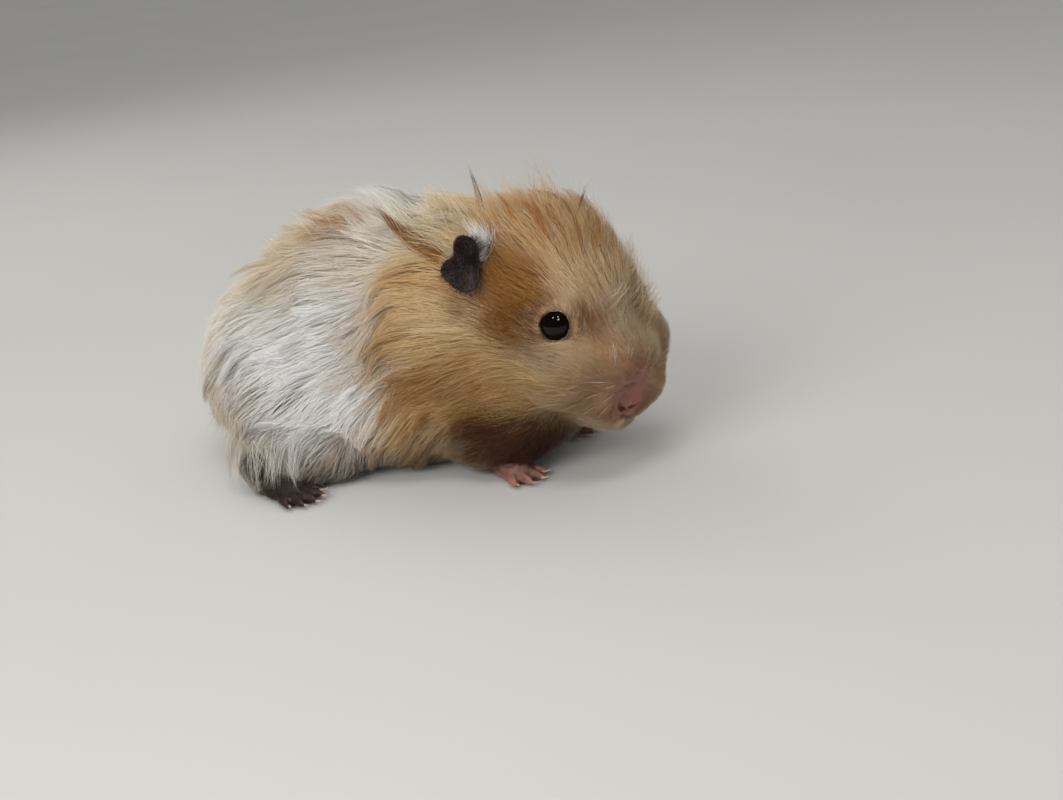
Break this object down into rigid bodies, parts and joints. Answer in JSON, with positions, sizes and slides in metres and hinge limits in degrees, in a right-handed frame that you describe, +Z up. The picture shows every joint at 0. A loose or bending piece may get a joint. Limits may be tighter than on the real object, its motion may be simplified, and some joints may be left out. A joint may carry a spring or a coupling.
{
  "type": "syrian hamster",
  "caption": "Crouching long-haired Syrian hamster, a still life-size model with its head turned to its right and a cream-and-gold coat banded with white.",
  "frame": {"origin": "on the floor, under the middle of the animal's box", "axes": "+Z up; the body points along -Y; the animal's left side is +X"},
  "size_m": [0.0668, 0.106, 0.0585],
  "materials": {
    "golden_coat": "long soft golden-cream fur, orange-brown behind the eye and on the crown",
    "neck_coat": "long golden fur flowing back, darker on the chest",
    "banded_coat": "long fur, a white band round the middle and peach-cream on the rump",
    "hindleg_coat": "long cream-white fur",
    "foreleg_coat": "short brown-golden fur",
    "pink_skin": "soft bare skin, slightly pink",
    "dark_foot_skin": "soft bare skin, dark grey-brown",
    "dark_ear_skin": "thin dark grey skin with fine down",
    "black_eye": "wet, glossy, nearly black",
    "nose_skin": "moist pink skin",
    "tail_skin": "pink skin with fine down"
  },
  "bodies": {
    "root": {"head": "golden_coat", "neck": "neck_coat", "trunk": "banded_coat", "tail": "tail_skin", "nose": "nose_skin", "ear_left": "dark_ear_skin", "ear_right": "dark_ear_skin", "eye_left": "black_eye", "eye_right": "black_eye", "foreleg_left": "foreleg_coat", "foreleg_right": "foreleg_coat", "forefoot_left": "pink_skin", "forefoot_right": "pink_skin", "hindleg_left": "hindleg_coat", "hindleg_right": "hindleg_coat", "hindfoot_left": "dark_foot_skin", "hindfoot_right": "dark_foot_skin"}
  },
  "joints": []
}
